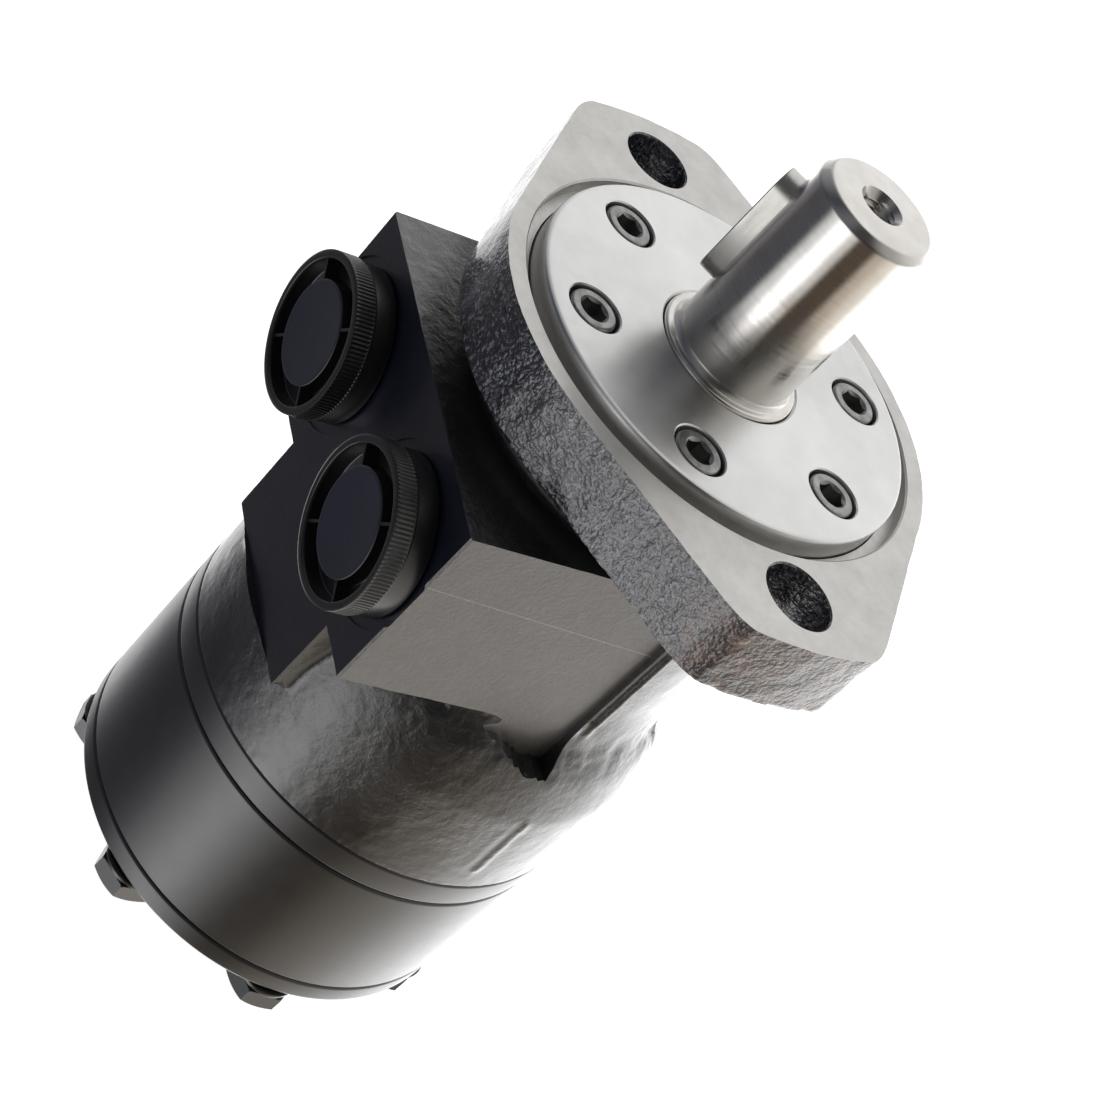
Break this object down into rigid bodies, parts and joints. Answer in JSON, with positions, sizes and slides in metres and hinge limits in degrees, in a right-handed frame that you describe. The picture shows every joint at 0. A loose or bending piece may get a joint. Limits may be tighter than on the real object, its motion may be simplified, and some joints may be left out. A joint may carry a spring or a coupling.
{
  "type": "orbit hydraulic motor",
  "caption": "Compact orbit hydraulic motor with an oval two-bolt flange, round pilot cover, keyed parallel shaft, capped side ports and a bolted cylindrical gear housing.",
  "frame": {"origin": "centre of the end cover's rear face, on the shaft's axis", "axes": "+Z along the output shaft, out of the motor; -Y out of the port face; X along the line of the flange's two bolt holes"},
  "size_m": [0.1306, 0.107, 0.2084],
  "materials": {
    "black_paint": "glossy black paint over cast iron; machined flange face left bare",
    "satin_black": "satin black paint over turned steel",
    "machined_steel": "fine turned",
    "polished_steel": "ground and polished",
    "black_oxide": "black oxide",
    "hardened_steel": "ground, hardened",
    "seal_rubber": "matt",
    "plug_plastic": "semi-gloss moulded"
  },
  "bodies": {
    "motor": {"housing": "black_paint", "housing_seal": "seal_rubber", "front_cover": "machined_steel", "cover_screw_1": "black_oxide", "cover_screw_2": "black_oxide", "cover_screw_3": "black_oxide", "cover_screw_4": "black_oxide", "cover_screw_5": "black_oxide", "cover_screw_6": "black_oxide", "dust_seal": "seal_rubber", "shaft_seal": "seal_rubber", "seal_backup_ring": "hardened_steel", "cover_o_ring": "seal_rubber", "thrust_race_front": "hardened_steel", "thrust_race_rear": "hardened_steel", "spacer_plate": "satin_black", "gerotor_ring": "satin_black", "ring_seal_rear": "seal_rubber", "ring_seal_front": "seal_rubber", "end_cover": "satin_black", "rear_bolt_1": "black_oxide", "rear_bolt_2": "black_oxide", "rear_bolt_3": "black_oxide", "rear_bolt_4": "black_oxide", "rear_bolt_5": "black_oxide", "rear_bolt_6": "black_oxide", "rear_bolt_7": "black_oxide", "bolt_washer_1": "black_oxide", "bolt_washer_2": "black_oxide", "bolt_washer_3": "black_oxide", "bolt_washer_4": "black_oxide", "bolt_washer_5": "black_oxide", "bolt_washer_6": "black_oxide", "bolt_washer_7": "black_oxide"},
    "output": {"output_shaft": "polished_steel", "shaft_key": "polished_steel"},
    "needle_cage": {"thrust_needle_cage": "hardened_steel"},
    "orbit": {"drive_spacer": "hardened_steel"},
    "rotor": {"rotor": "hardened_steel"},
    "link": {"drive_link": "hardened_steel"},
    "roller_1": {"ring_roller_1": "hardened_steel"},
    "roller_2": {"ring_roller_2": "hardened_steel"},
    "roller_3": {"ring_roller_3": "hardened_steel"},
    "roller_4": {"ring_roller_4": "hardened_steel"},
    "roller_5": {"ring_roller_5": "hardened_steel"},
    "roller_6": {"ring_roller_6": "hardened_steel"},
    "roller_7": {"ring_roller_7": "hardened_steel"},
    "plug_1": {"port_plug_1": "plug_plastic"},
    "plug_2": {"port_plug_2": "plug_plastic"}
  },
  "joints": [
    {"name": "shaft_spin", "type": "hinge", "parent": "motor", "child": "output", "pos_m": [0, 0, 0.18], "axis": [0, 0, 1], "continuous": true},
    {"name": "cage_spin", "type": "hinge", "parent": "motor", "child": "needle_cage", "pos_m": [0, 0, 0.1373], "axis": [0, 0, 1], "continuous": true},
    {"name": "rotor_orbit", "type": "hinge", "parent": "motor", "child": "orbit", "pos_m": [0, 0, 0.02415], "axis": [0, 0, 1], "continuous": true},
    {"name": "rotor_spin", "type": "hinge", "parent": "orbit", "child": "rotor", "pos_m": [0.00234, -0.00172, 0.02415], "axis": [0, 0, 1], "continuous": true},
    {"name": "drive_spin", "type": "hinge", "parent": "orbit", "child": "link", "pos_m": [0, 0, 0.101], "axis": [-0.0304, 0.0223, 0.9993], "continuous": true},
    {"name": "roller_spin_1", "type": "hinge", "parent": "motor", "child": "roller_1", "pos_m": [0.02297, -0.01687, 0.02415], "axis": [0, 0, 1], "continuous": true},
    {"name": "roller_spin_2", "type": "hinge", "parent": "motor", "child": "roller_2", "pos_m": [0.02751, 0.00744, 0.02415], "axis": [0, 0, 1], "continuous": true},
    {"name": "roller_spin_3", "type": "hinge", "parent": "motor", "child": "roller_3", "pos_m": [0.01133, 0.02615, 0.02415], "axis": [0, 0, 1], "continuous": true},
    {"name": "roller_spin_4", "type": "hinge", "parent": "motor", "child": "roller_4", "pos_m": [-0.01338, 0.02516, 0.02415], "axis": [0, 0, 1], "continuous": true},
    {"name": "roller_spin_5", "type": "hinge", "parent": "motor", "child": "roller_5", "pos_m": [-0.02802, 0.00523, 0.02415], "axis": [0, 0, 1], "continuous": true},
    {"name": "roller_spin_6", "type": "hinge", "parent": "motor", "child": "roller_6", "pos_m": [-0.02156, -0.01864, 0.02415], "axis": [0, 0, 1], "continuous": true},
    {"name": "roller_spin_7", "type": "hinge", "parent": "motor", "child": "roller_7", "pos_m": [0.00114, -0.02848, 0.02415], "axis": [0, 0, 1], "continuous": true},
    {"name": "plug_pull_1", "type": "slide", "parent": "motor", "child": "plug_1", "axis": [0, -1, 0], "range_m": [0, 0.03]},
    {"name": "plug_pull_2", "type": "slide", "parent": "motor", "child": "plug_2", "axis": [0, -1, 0], "range_m": [0, 0.03]}
  ],
  "couplings": [
    {"joint": "cage_spin", "follows": "shaft_spin", "ratio": 0.5},
    {"joint": "rotor_orbit", "follows": "shaft_spin", "ratio": -6},
    {"joint": "rotor_spin", "follows": "shaft_spin", "ratio": 7},
    {"joint": "drive_spin", "follows": "shaft_spin", "ratio": 7}
  ]
}
